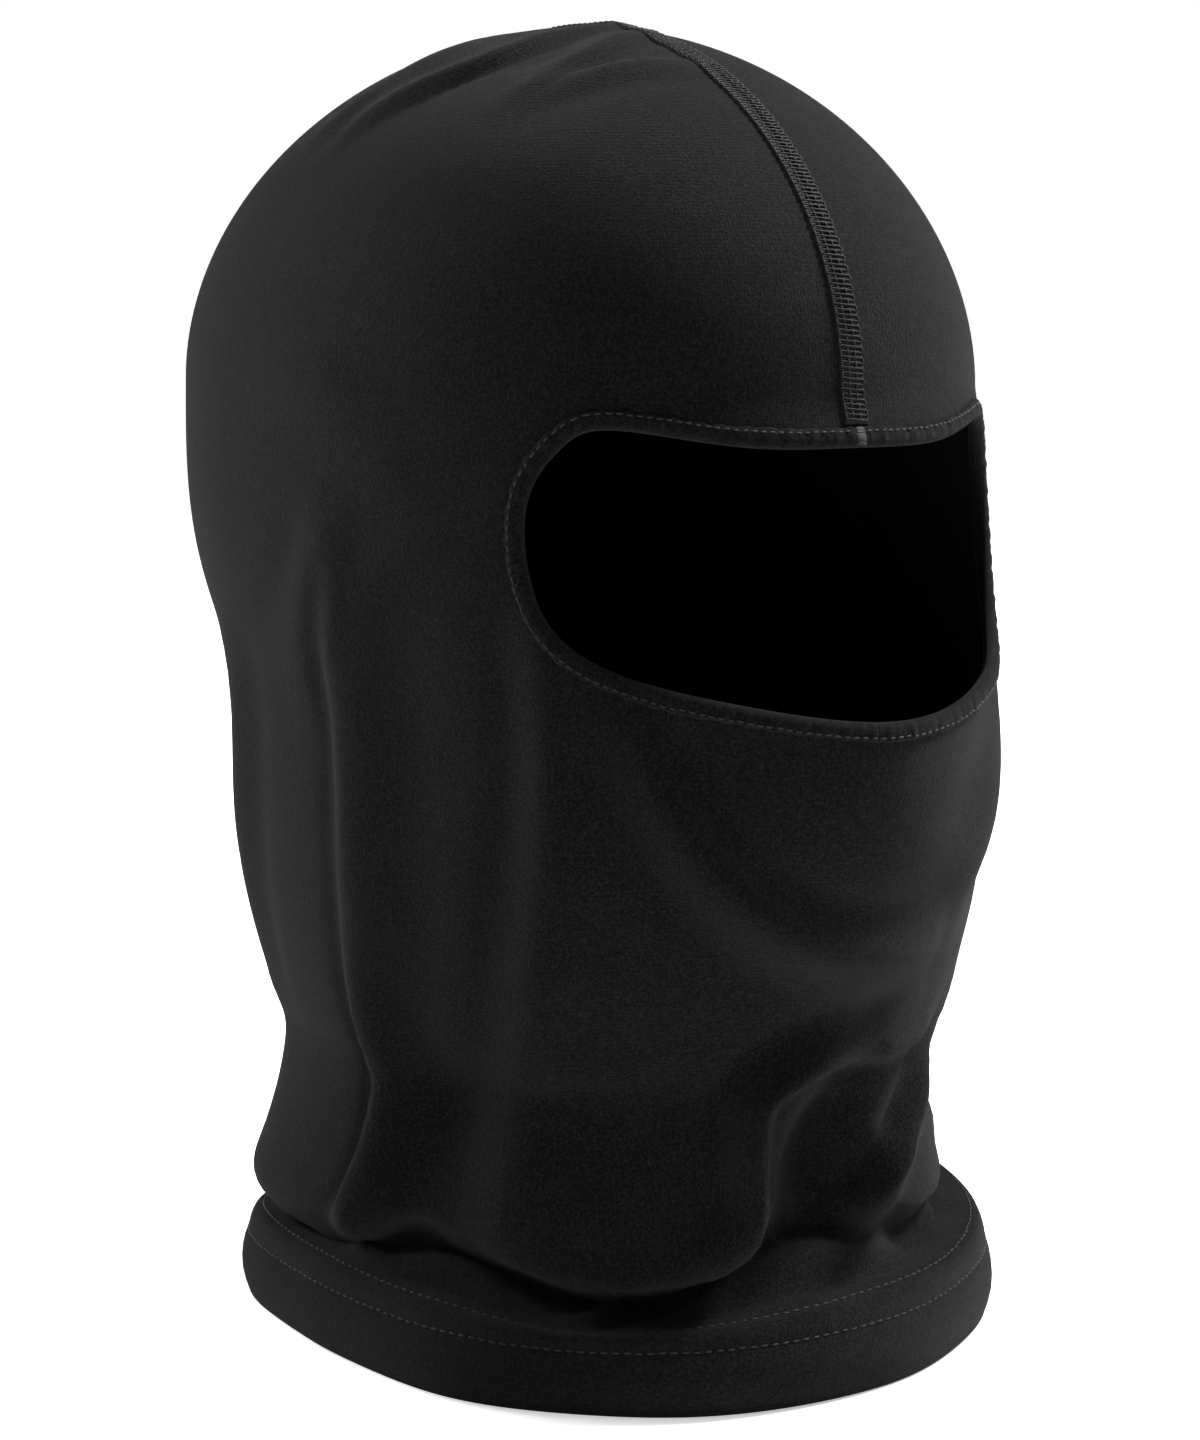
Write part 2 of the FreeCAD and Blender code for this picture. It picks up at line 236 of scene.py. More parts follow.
# Folds: points (azimuth, length up the fabric, height, width), and how much wider the side to the
# left of the path, seen from outside and going along it, is than the other.
folds = [
    # creases across the wearer's right of the crown
    ([(-104, 262, 0, 5), (-96, 280, 1.8, 4), (-93, 299, 1.2, 5), (-100, 315, 0, 6)], 1.2),
    ([(-90, 262, 0, 5), (-82, 273, 1.6, 4), (-68, 282, 2.4, 3.4), (-52, 292, 2.4, 3.4), (-26, 309, 1.6, 4),
      (20, 318, 0, 5)], 1.8),
    ([(-46, 276, 0, 4), (-36, 283, 1.6, 3), (-26, 292, 2.0, 3), (-14, 302, 1.4, 4), (10, 312, 0, 5)], 1.5),
    ([(-50, 272, 0, 5), (-34, 280, 1.2, 4), (-20, 286, 1.7, 3.6), (-8, 288, 0.9, 4), (4, 287, 0, 5)], 0.6),
    # the two ridges that start behind the ear, and the long one down to the hem
    ([(-68, 186, 0, 8), (-72, 172, 1.6, 6), (-80, 157, 1.8, 7), (-92, 138, 0, 9)], 1.0),
    ([(-66, 176, 0, 8), (-69, 164, 1.8, 6), (-74, 150, 2.8, 6), (-76, 128, 3.0, 6), (-76, 98, 3.0, 6),
      (-77, 76, 3.6, 5), (-74, 60, 5.0, 5), (-75, 47, 5.8, 5), (-79, 37, 4.0, 5), (-84, 30, 0, 6)], 1.6),
    # soft ridge below the outer end of the eye opening
    ([(-38, 168, 0, 5), (-39, 150, 1.9, 6), (-40, 122, 2.6, 7), (-42, 90, 2.9, 8), (-45, 62, 3.2, 9),
      (-47, 46, 2.4, 9), (-49, 35, 0, 9)], 1.3),
    # sweep from the lip under the chin
    ([(-31, 150, 0, 6), (-29, 138, 2.2, 6), (-24, 123, 3.8, 6.5), (-17, 108, 4.6, 6.5), (-7, 98, 4.6, 7.5),
      (5, 93, 3.2, 9), (16, 94, 0, 12)], 0.55),
    # tucked fold at the throat, with its hollow
    ([(28, 73, 0, 7), (14, 71, 2.8, 6), (0, 70, 4.0, 5), (-9, 66, 5.2, 4.2), (-12, 58, 6.0, 4.2),
      (-12, 49, 6.0, 4.2), (-15, 41, 4.6, 4.5), (-20, 35, 2.0, 5), (-24, 31, 0, 6)], 0.5),
    ([(9, 67, 0, 9), (2, 59, -7.5, 8), (-1, 49, -10.0, 8), (0, 38, -6.0, 8), (1, 30, 0, 8)], 1.0),
    # fold at the wearer's left of the throat
    ([(32, 76, 0, 7), (23, 63, 3.6, 5), (13, 52, 5.4, 4.2), (8, 44, 5.0, 4.2), (5, 37, 2.0, 5),
      (2, 32, 0, 6)], 1.8),
    # wearer's left cheek and neck
    ([(48, 158, 0, 9), (50, 142, 1.8, 9), (50, 112, 2.4, 9), (52, 84, 2.4, 9), (56, 64, 1.2, 8),
      (60, 50, 0.6, 8), (62, 36, 0, 9)], 1.2),
    ([(74, 178, 0, 9), (80, 160, 1.8, 8), (84, 130, 2.6, 8), (86, 98, 2.8, 8), (90, 76, 1.8, 8),
      (92, 62, 0, 8)], 0.8),
    ([(28, 146, 0, 8), (27, 132, 1.6, 8), (22, 114, 2.4, 9), (14, 100, 0, 10)], 1.0),
    ([(66, 96, 0, 9), (70, 84, 1.8, 8), (74, 70, 0, 8)], 1.0),
    ([(16, 68, 0, 8), (28, 63, -2.4, 7), (42, 58, -4.2, 7), (60, 57, -4.4, 7), (76, 58, -2.4, 8),
      (92, 60, 0, 9)], 1.0),
    # nape and back
    ([(112, 150, 0, 9), (116, 128, 2.4, 8), (118, 98, 3.0, 8), (122, 72, 3.2, 8), (120, 50, 2.8, 8),
      (116, 38, 0, 9)], 1.2),
    ([(146, 118, 0, 10), (152, 98, 2.6, 8), (164, 84, 2.8, 8), (178, 78, 2.4, 8), (-168, 82, 2.2, 8),
      (-156, 94, 0, 10)], 0.8),
    ([(-112, 158, 0, 9), (-116, 136, 2.2, 8), (-118, 104, 2.8, 8), (-120, 78, 2.2, 8), (-116, 58, 0.6, 8),
      (-112, 42, 0, 9)], 0.9),
    ([(-142, 132, 0, 9), (-146, 108, 2.4, 8), (-150, 82, 2.8, 8), (-146, 60, 2.6, 8), (-140, 46, 0, 9)], 1.1),
    ([(150, 64, 0, 8), (160, 56, 2.4, 7), (172, 52, 2.4, 7), (-176, 54, 1.8, 7), (-164, 60, 0, 8)], 1.3),
    # crumples where the slack lies on the hem
    ([(-98, 25, 0, 5), (-88, 24, 1.6, 3.5), (-78, 24.5, 2.0, 3.2), (-70, 28, 0, 5)], 0.8),
    ([(-82, 22.6, 0, 4), (-68, 25.5, 3.8, 3), (-56, 27.5, 4.6, 3), (-47, 25, 3.4, 3),
      (-38, 22.8, 0, 4)], 1.4),
    ([(-35, 32, 0, 4), (-32, 28.5, 2.4, 3), (-35, 25, 2.8, 3), (-40, 22.8, 0, 4)], 0.7),
    ([(-24, 23, 0, 3.5), (-18, 25.5, 2.2, 3), (-14, 29.5, 1.8, 3.4), (-14, 34, 0, 4)], 1.2),
    ([(-14, 24.5, 0, 4), (-7, 28, 4.2, 4), (4, 28.5, 4.4, 4.4), (13, 27, 3.2, 4.4), (19, 23.5, 0, 4)], 1.0),
    ([(25, 23, 0, 4), (31, 26, 2.2, 3.4), (35, 29.5, 2.6, 3.4), (35, 35, 0, 4)], 1.2),
    ([(40, 24, 0, 4), (50, 25.5, 2.0, 3.2), (60, 28, 1.8, 3.4), (66, 33, 0, 5)], 0.8),
    ([(76, 23, 0, 4), (88, 25, 1.8, 3.6), (98, 29, 1.4, 4), (106, 34, 0, 5)], 1.2),
    ([(126, 23, 0, 4), (136, 25, 1.6, 3.6), (148, 26, 1.8, 3.6), (158, 30, 0, 5)], 0.8),
    ([(-168, 23, 0, 4), (-158, 25, 1.7, 3.6), (-146, 26, 1.5, 3.8), (-136, 30, 0, 5)], 1.2),
    ([(-126, 24, 0, 4), (-116, 25, 1.6, 3.6), (-106, 28, 1.4, 4), (-100, 33, 0, 5)], 0.8),
    # tension lines running from the ends of the eye opening
    ([(-52, 190, 0, 7), (-60, 196, 0.7, 6), (-72, 204, 0.6, 8), (-86, 214, 0, 9)], 1.0),
    ([(52, 188, 0, 7), (62, 192, 0.7, 6), (76, 198, 0.6, 8), (90, 206, 0, 9)], 1.0),
]
hem_free_length = 20.5          # the hem itself is too stiff to fold below this length


def fold_tracks():
    """Points along each fold on the form, with its height, widths and direction."""
    tracks = []
    for points, lean in folds:
        points = np.array(points, float)
        unwrapped = np.degrees(np.unwrap(np.radians(points[:, 0])))
        count = len(points)
        path = spline(np.arange(count), np.column_stack([unwrapped, points[:, 1:]]))
        track = path(np.linspace(0, count - 1, 12 * count))
        place = form(track[:, 0], track[:, 1])
        along = np.gradient(place, axis=0)
        left = unit(np.cross(normals_of(form, track[:, 0], track[:, 1]), along))
        tracks.append((place, track[:, 2], track[:, 3], left, lean))
    return tracks


tracks = fold_tracks()
fold_reach = 3.2                # a fold ends this many widths from its path
dip_share = 0.22                # depth of the dip beside a fold, and how many widths away it lies
dip_place = 2.0


def fold_height(place, length):
    """How far the folds lift the form at each place."""
    lift = np.zeros(len(place))
    for centre, height, width, left, lean in tracks:
        reach = fold_reach * width.max() * max(lean, 1)
        near = np.where(((place > centre.min(0) - reach) & (place < centre.max(0) + reach)).all(1))[0]
        for part in np.array_split(near, max(1, len(near) // 4000)):
            gap = place[part, None] - centre[None]
            square = (gap ** 2).sum(-1)
            nearest = square.argmin(1)
            rows = np.arange(len(part))
            side = (gap[rows, nearest] * left[nearest]).sum(-1)
            spread = width[nearest] * np.where(side > 0, lean, 1 / max(lean, 1))
            share = np.sqrt(square[rows, nearest]) / spread
            bump = np.exp(-share ** 2 * 0.8) - dip_share * np.exp(-((share - dip_place) / 0.8) ** 2)
            lift[part] += height[nearest] * bump
    loose = np.clip((length - hem_free_length) / 6, 0, 1)
    return lift * loose * loose * (3 - 2 * loose)


def hood(azimuth, length):
    """Outside of the finished hood."""
    azimuth, length = np.broadcast_arrays(np.asarray(azimuth, float), np.asarray(length, float))
    place = form(azimuth, length).reshape(-1, 3)
    normal = normals_of(form, azimuth, length).reshape(-1, 3)
    lift = fold_height(place, length.ravel())
    angle = np.radians(azimuth.ravel())
    wave = sum(height * np.sin(times * angle + start) for height, times, start in hem_waves)
    lift = lift + wave * np.clip(1 - length.ravel() / wave_end, 0, 1)
    for row_length in (lower_stitch, upper_stitch):
        lift -= stitch_pull * np.exp(-((length.ravel() - row_length) / stitch_dent) ** 2)
    return (place + normal * lift[:, None]).reshape(azimuth.shape + (3,))


def beneath(azimuth, length, depth):
    """Places inside the hood, this far under its outside."""
    azimuth, length = np.broadcast_arrays(np.asarray(azimuth, float), np.asarray(length, float))
    return hood(azimuth, length) - normals_of(form, azimuth, length) * np.asarray(depth)[..., None]


# The mesh: rows of the fabric from the raw edge inside the hem to the crown, then a square cap.
columns = 280
column_azimuth = np.arange(columns) * 360 / columns - 180
fabric = 1.1
turn_up = 19.4
layer_gap = 0.12
cap_length = 252.0
hem_rows = np.concatenate([np.arange(1.2, 13.5, 2.1), [13.8, lower_stitch, 15.0, 16.4, 17.8, 19.2],
                           [20.2, upper_stitch, 21.4]])
slump_rows = np.arange(22.8, 66, 1.45)
body_rows = np.linspace(67.5, cap_length, 76)
outside_rows = np.concatenate([hem_rows, slump_rows, body_rows])
outside = hood(column_azimuth[None, :], outside_rows[:, None])

inside_rows = np.array([19.2, 17.3, 15.4, 13.2, 11, 8.6, 6.2, 4, 1.9])
turned = 2 * fabric + layer_gap
inside = beneath(column_azimuth[None, :], inside_rows[:, None], turned)
fold_steps = 5
bottom_outer = outside[0]
ring_inward = unit((inside[-1] - bottom_outer) * [1, 1, 0])
under = []
for step in range(1, fold_steps + 1):
    angle = math.pi * step / (fold_steps + 1)
    sideways = turned / 2 * (1 - math.cos(math.pi - angle))
    drop = bottom_outer[:, 2:] * (1 - math.sin(angle))
    ring = bottom_outer + ring_inward * sideways
    ring[:, 2:] = drop
    under.append(ring)
grid_rows = np.concatenate([inside, np.array(under), outside])

half_cap = columns // 8
cap_points = {}
verts = [tuple(point) for row in grid_rows for point in row]
faces = []
row_count = len(grid_rows)
for row in range(row_count - 1):
    for column in range(columns):
        after = (column + 1) % columns
        faces.append((row * columns + column, row * columns + after, (row + 1) * columns + after,
                      (row + 1) * columns + column))


def cap_index(i, j):
    """Vertex of the square cap; its rim is the last row of the grid."""
    ring = max(abs(i), abs(j))
    if ring == 0:
        return cap_points["top"]
    if i == ring and j < ring:
        spot = j + ring
    elif j == ring:
        spot = 2 * ring + ring - i
    elif i == -ring:
        spot = 4 * ring + ring - j
    else:
        spot = 6 * ring + i + ring
    spot %= 8 * ring
    if ring == half_cap:
        return (row_count - 1) * columns + spot
    return cap_points[ring] + spot


cap_azimuth = []
cap_lengths = []
for ring in range(half_cap - 1, 0, -1):
    cap_points[ring] = len(verts) + len(cap_azimuth)
    cap_azimuth += [spot * 360 / (8 * ring) - 180 for spot in range(8 * ring)]
    cap_lengths += [crown_top - (crown_top - cap_length) * ring / half_cap] * (8 * ring)
verts += [tuple(point) for point in hood(np.array(cap_azimuth), np.array(cap_lengths))]
cap_points["top"] = len(verts)
top_ring = np.array(verts[cap_points[1]:cap_points[1] + 8])
verts.append(tuple(top_ring.mean(0) + [0, 0, 0.02]))
for i in range(-half_cap, half_cap):
    for j in range(-half_cap, half_cap):
        faces.append((cap_index(i, j), cap_index(i + 1, j), cap_index(i + 1, j + 1), cap_index(i, j + 1)))

# The eye opening is cut out of the mesh, and its edge is pulled onto the outline.
brow_height = 195.0
lip_height = 142.0
opening_half_width = 59.5
outline_shape = [(0.0, 1.0), (0.42, 1.01), (0.76, 1.07), (0.89, 1.02), (0.97, 0.87), (1.0, 0.66),
                 (0.97, 0.40), (0.84, 0.20), (0.60, 0.10), (0.30, 0.03), (0.0, 0.0)]
outline_sides = outline_shape + [(-x, z) for x, z in outline_shape[-2:0:-1]]
outline_wrapped = np.array(outline_sides[-4:] + outline_sides + outline_sides[:5], float)
outline_spline = spline(np.arange(-4, len(outline_sides) + 5), outline_wrapped)
outline_count = 240
outline = outline_spline(np.linspace(0, len(outline_sides), outline_count, endpoint=False))
outline_x = outline[:, 0] * opening_half_width
outline_z = lip_height + outline[:, 1] * (brow_height - lip_height)
search = np.linspace(-80, 80, 641)
outline_azimuth = np.array([
    np.interp(x, bare_form(search, z)[:, 0], search) for x, z in zip(outline_x, outline_z)
])
outline_length = outline_z
# The fabric's own edge lies this far outside the bound edge, in the pocket of the binding.
edge_depth = 0.95
scale_azimuth = 1.45            # millimetres for each degree round the face
flat_outline = np.column_stack([outline_azimuth * scale_azimuth, outline_length])
flat_along = unit(np.roll(flat_outline, -1, 0) - np.roll(flat_outline, 1, 0))
cut_outline = flat_outline + np.column_stack([-flat_along[:, 1], flat_along[:, 0]]) * edge_depth
cut_azimuth = cut_outline[:, 0] / scale_azimuth
cut_length = cut_outline[:, 1]


def inside_outline(azimuth, length):
    """Which points lie in the eye opening."""
    hits = np.zeros(len(azimuth), bool)
    next_azimuth = np.roll(cut_azimuth, -1)
    next_length = np.roll(cut_length, -1)
    for a0, l0, a1, l1 in zip(cut_azimuth, cut_length, next_azimuth, next_length):
        crosses = (l0 > length) != (l1 > length)
        if crosses.any():
            hits ^= crosses & (azimuth < a0 + (length - l0) / (l1 - l0 + 1e-12) * (a1 - a0))
    return hits


bare_rows = len(inside_rows) + fold_steps
vert_azimuth = np.concatenate([np.tile(column_azimuth, row_count), cap_azimuth, [0]])
vert_length = np.concatenate([np.zeros(bare_rows * columns), np.repeat(outside_rows, columns), cap_lengths,
                              [crown_top]])
cut = inside_outline(vert_azimuth, vert_length)
verts = np.array(verts)
kept_faces = [face for face in faces if not cut[list(face)].all()]
edge_verts = sorted({index for face in kept_faces for index in face if cut[index]})
edge_place = hood(cut_azimuth, cut_length)
for index in edge_verts:
    spot = (vert_azimuth[index] * scale_azimuth, vert_length[index])
    verts[index] = edge_place[np.linalg.norm(cut_outline - spot, axis=1).argmin()]

used = np.zeros(len(verts), bool)
used[list({index for face in kept_faces for index in face})] = True
renumber = np.cumsum(used) - 1
hood_skin = [tuple(renumber[list(face)]) for face in kept_faces]


def skinned(name, points, skin):
    """Piece from points in chart millimetres."""
    mesh = bpy.data.meshes.new(name)
    mesh.from_pydata((points.reshape(-1, 3) * mm).tolist(), [], skin)
    mesh.shade_smooth()
    piece = bpy.data.objects.new(name, mesh)
    bpy.context.collection.objects.link(piece)
    return piece


def lay_map(piece, name, across, along):
    """Map of a piece, from two values for each of its points."""
    corner = np.empty(len(piece.data.loops), np.int32)
    piece.data.loops.foreach_get("vertex_index", corner)
    values = np.column_stack([across[corner], along[corner]])
    piece.data.uv_layers.new(name=name).data.foreach_set("uv", values.ravel())


def choose(*pieces):
    """Select these pieces only, and make the first one active."""
    bpy.ops.object.select_all(action="DESELECT")
    for piece in pieces:
        piece.select_set(True)
    bpy.context.view_layer.objects.active = pieces[0]


def thicken(piece, thickness, offset):
    """Give a sheet its thickness: offset -1 puts it inside, 0 on both sides."""
    modifier = piece.modifiers.new("thickness", "SOLIDIFY")
    modifier.thickness = thickness
    modifier.offset = offset
    choose(piece)
    bpy.ops.object.modifier_apply(modifier="thickness")


hood_piece = skinned("hood", verts[used], hood_skin)
# Fabric coordinates in metres, kept on the mesh for the knit.
girth = 0.545
lay_map(hood_piece, "fabric", vert_azimuth[used] / 360 * girth, vert_length[used] * mm)
# The trims are laid on the outside, as it is before the fabric gets its thickness.
hood_bvh = BVHTree.FromPolygons(verts[used].tolist(), hood_skin)
thicken(hood_piece, fabric * mm, -1)


def new_node(tree, kind, **settings):
    """Shader node with its settings."""
    made = tree.nodes.new(kind)
    for name, value in settings.items():
        setattr(made, name, value)
    return made


def maths(tree, operation, first, second=0.0):
    """Sum of two values, or another operation on them."""
    """Math node of two links or numbers."""
    made = new_node(tree, "ShaderNodeMath", operation=operation)
    for socket, value in zip(made.inputs, (first, second)):
        if isinstance(value, (int, float)):
            socket.default_value = value
        else:
            tree.links.new(value, socket)
    return made.outputs[0]


def noise(tree, place, scale, detail, roughness):
    """Noise over a place."""
    made = new_node(tree, "ShaderNodeTexNoise")
    made.inputs["Scale"].default_value = scale
    made.inputs["Detail"].default_value = detail
    made.inputs["Roughness"].default_value = roughness
    tree.links.new(place, made.inputs["Vector"])
    return made.outputs["Fac"]


def new_material(name):
    """Material, its tree and its shader."""
    material = bpy.data.materials.new(name)
    material.use_nodes = True
    return material, material.node_tree, material.node_tree.nodes["Principled BSDF"]


def raise_surface(tree, shader, height, strength, distance):
    """Let a height show as relief."""
    relief = new_node(tree, "ShaderNodeBump")
    relief.inputs["Strength"].default_value = strength
    relief.inputs["Distance"].default_value = distance
    tree.links.new(height, relief.inputs["Height"])
    tree.links.new(relief.outputs[0], shader.inputs["Normal"])


def scaled(tree, vector, factors):
    """Vector with each of its parts multiplied."""
    made = new_node(tree, "ShaderNodeVectorMath", operation="MULTIPLY")
    made.inputs[1].default_value = factors
    tree.links.new(vector, made.inputs[0])
    return made.outputs[0]


def pattern_group(name, map_input, count_input):
    """Group with a map, a place, a dye and a count going in, and a colour and a height coming out."""
    group = bpy.data.node_groups.new(name, "ShaderNodeTree")
    kinds = ((map_input, "Vector"), ("Place", "Vector"), ("Dye", "Color"), (count_input, "Float"))
    for socket_name, kind in kinds:
        group.interface.new_socket(socket_name, in_out="INPUT", socket_type="NodeSocket" + kind)
    group.interface.new_socket("Colour", in_out="OUTPUT", socket_type="NodeSocketColor")
    group.interface.new_socket("Height", in_out="OUTPUT", socket_type="NodeSocketFloat")
    inward = new_node(group, "NodeGroupInput")
    axes = new_node(group, "ShaderNodeSeparateXYZ")
    group.links.new(inward.outputs[map_input], axes.inputs[0])
    return group, inward.outputs, axes.outputs


def end_group(group, dye, tone, height):
    """Dye times tone goes out as the colour, beside the height."""
    outward = new_node(group, "NodeGroupOutput")
    dyed = new_node(group, "ShaderNodeVectorMath", operation="SCALE")
    group.links.new(dye, dyed.inputs[0])
    group.links.new(tone, dyed.inputs["Scale"])
    group.links.new(dyed.outputs[0], outward.inputs["Colour"])
    group.links.new(height, outward.inputs["Height"])


# Brushed knit: wales and courses of loops under a short fuzz, with softly clouded colour.
knit, knit_in, flat_axes = pattern_group("brushed_knit", "Flat", "Loops")
wale_turn = maths(knit, "MULTIPLY", maths(knit, "MULTIPLY", flat_axes[0], knit_in["Loops"]), math.pi)
wale = maths(knit, "ABSOLUTE", maths(knit, "SINE", wale_turn))
course_turn = maths(knit, "MULTIPLY", maths(knit, "MULTIPLY", flat_axes[1], knit_in["Loops"]), math.tau * 0.8)
course = maths(knit, "SINE", maths(knit, "ADD", course_turn, maths(knit, "MULTIPLY", wale, 1.6)))
loops = maths(knit, "ADD", maths(knit, "MULTIPLY", wale, 0.5), maths(knit, "MULTIPLY", course, 0.25))
fuzz = noise(knit, knit_in["Place"], 1600.0, 4.0, 0.8)
clouds = noise(knit, knit_in["Place"], 70.0, 3.0, 0.6)
streaks = noise(knit, scaled(knit, knit_in["Flat"], (900.0, 40.0, 1.0)), 1.0, 2.0, 0.5)
speckle = maths(knit, "MULTIPLY", maths(knit, "SUBTRACT", fuzz, 0.42), 9.0)
tone = maths(knit, "ADD", maths(knit, "MAXIMUM", speckle, 0.1), maths(knit, "MULTIPLY", clouds, 0.7))
tone = maths(knit, "ADD", tone, maths(knit, "MULTIPLY", streaks, 0.2))
tone = maths(knit, "ADD", tone, maths(knit, "MULTIPLY", loops, 0.05))
tone = maths(knit, "MAXIMUM", maths(knit, "SUBTRACT", tone, 0.3), 0.12)
height = maths(knit, "ADD", maths(knit, "MULTIPLY", fuzz, 1.0), maths(knit, "MULTIPLY", loops, 0.12))
end_group(knit, knit_in["Dye"], tone, height)


def patterned(name, pattern, map_name, dye, count, bump, depth, roughness, specular, sheen=0.0):
    """Material that a pattern group colours and raises, over one of the piece's own maps."""
    material, tree, shader = new_material(name)
    flat = new_node(tree, "ShaderNodeUVMap", uv_map=map_name)
    place = new_node(tree, "ShaderNodeTexCoord")
    group = new_node(tree, "ShaderNodeGroup", node_tree=pattern)
    group.inputs["Dye"].default_value = dye
    group.inputs[3].default_value = count
    tree.links.new(flat.outputs[0], group.inputs[0])
    tree.links.new(place.outputs["Object"], group.inputs["Place"])
    tree.links.new(group.outputs["Colour"], shader.inputs["Base Color"])
    raise_surface(tree, shader, group.outputs["Height"], bump, depth)
    shader.inputs["Roughness"].default_value = roughness
    shader.inputs["Specular IOR Level"].default_value = specular
    shader.inputs["Sheen Weight"].default_value = sheen
    shader.inputs["Sheen Roughness"].default_value = 0.5
    return material


knit_depth = 0.0006
knit_gloss = 0.05
jersey = patterned("brushed_black_jersey", knit, "fabric", (0.0052, 0.0052, 0.0054, 1), 1500.0, 0.8,
                   knit_depth, 0.95, knit_gloss, 0.04)
hood_piece.data.materials.append(jersey)
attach(hood_piece, "root")
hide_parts("hood_panel")

# ==== Elastic in the edge of the face opening =======================================================
# A narrow knitted rubber-cored tape, flat, cut a little shorter than the opening. It lies against the
# inside of the hood, and the binding folds over it, so nothing of it shows.


def laid_grid(grid, step_along, low_across, step_across):
    """Reader of a grid of points on the hood: place and outward direction for a run and an across."""
    normal = unit(np.cross(np.gradient(grid, axis=0), np.gradient(grid, axis=1)))
    centre = np.array([0, 0, 150.0])
    if ((grid - centre) * normal).sum() < 0:
        normal = -normal

    def at(run, across, lift=0.0):
        run, across, lift = np.broadcast_arrays(np.asarray(run, float), across, lift)
        i = np.clip(run / step_along, 0, len(grid) - 1.001)
        j = np.clip((across - low_across) / step_across, 0, grid.shape[1] - 1.001)
        row, column = i.astype(int), j.astype(int)
        i, j = (i - row)[..., None], (j - column)[..., None]

        def mixed(values):
            near = values[row, column] * (1 - j) + values[row, column + 1] * j
            far = values[row + 1, column] * (1 - j) + values[row + 1, column + 1] * j
            return near * (1 - i) + far * i

        direction = unit(mixed(normal))
        return mixed(grid) + direction * lift[..., None], direction

    return at


# The bound edge at even steps from the middle of the brow, and the hood beside it.
closed_azimuth = np.append(outline_azimuth, outline_azimuth[0])
closed_length = np.append(outline_length, outline_length[0])
bare_edge = hood(closed_azimuth, closed_length)
edge_run = travelled(bare_edge)
edge_total = edge_run[-1]
edge_count = 420
edge_step = edge_total / edge_count
even_run = np.arange(edge_count) * edge_step
even_azimuth = np.interp(even_run, edge_run, closed_azimuth)
even_length = np.interp(even_run, edge_run, closed_length)
even_edge = hood(even_azimuth, even_length)
even_along = np.roll(even_edge, -1, 0) - np.roll(even_edge, 1, 0)
even_away = unit(np.cross(even_along, normals_of(hood, even_azimuth, even_length)))
if even_away[0, 2] < 0:
    even_away = -even_away
across_step = 0.8
across_places = np.arange(-1, 8) * across_step
edge_grid = even_edge[:, None] + even_away[:, None] * across_places[None, :, None]
for row in range(edge_count):
    for column in range(3, len(across_places)):
        edge_grid[row, column] = hood_bvh.find_nearest(Vector(edge_grid[row, column]))[0]
wrap_rows = 4
edge_grid = np.concatenate([edge_grid[-wrap_rows:], edge_grid, edge_grid[:wrap_rows]])
edge_reader = laid_grid(edge_grid, edge_step, across_places[0], across_step)


def on_edge(run, across, lift=0.0):
    """Place beside the face opening: run from the middle of the brow, across from the bound edge."""
    return edge_reader(np.mod(run, edge_total) + wrap_rows * edge_step, across, lift)


def sweep(name, sections, closed):
    """Closed skin over rings of points: end to end, or with the two ends filled."""
    count, sides = sections.shape[:2]
    skin = []
    steps = count if closed else count - 1
    for i in range(steps):
        for j in range(sides):
            after_i = (i + 1) % count
            after_j = (j + 1) % sides
            skin.append((i * sides + j, i * sides + after_j, after_i * sides + after_j, after_i * sides + j))
    if not closed:
        skin.append(tuple(range(sides))[::-1])
        skin.append(tuple((count - 1) * sides + j for j in range(sides)))
    points = sections.reshape(-1, 3)
    first, second, third, fourth = (np.array([points[face[corner]] for face in skin[:steps * sides]])
                                    for corner in range(4))
    volume = (first * np.cross(second, third)).sum() + (first * np.cross(third, fourth)).sum()
    if volume < 0:
        skin = [face[::-1] for face in skin]
    piece = skinned(name, points, skin)
    gone = travelled(sections.mean(1))
    lay_map(piece, "run", np.repeat(gone * mm, sides), np.tile(np.arange(sides) / sides, count))
    return piece


def fit(piece, material, node):
    """Material, body, and the plain part that the piece stands for."""
    piece.data.materials.append(material)
    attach(piece, "root")
    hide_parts(node)


elastic_low, elastic_high = 1.4, 3.5          # across, from the bound edge
elastic_top, elastic_bottom = -1.15, -1.6     # under the hood's face
elastic_corners = [(elastic_low, elastic_top), (elastic_high, elastic_top), (elastic_high, elastic_bottom),
                   (elastic_low, elastic_bottom)]
tape_run = np.linspace(0.3, edge_total - 0.3, 300)
tape = np.stack([on_edge(tape_run, across, lift)[0] for across, lift in elastic_corners], 1)
elastic_piece = sweep("edge_elastic", tape, False)
elastic_material = patterned("black_elastic_tape", knit, "run", (0.02, 0.02, 0.02, 1), 900.0, 0.4,
                             knit_depth, 0.7, knit_gloss)
fit(elastic_piece, elastic_material, "face_elastic")

# ==== Binding of the face opening ===================================================================
# A strip of the same jersey, folded round the edge and the elastic, and stitched down through all
# layers. Its two ends meet at the middle of the brow, where a short bar of stitches ties them.

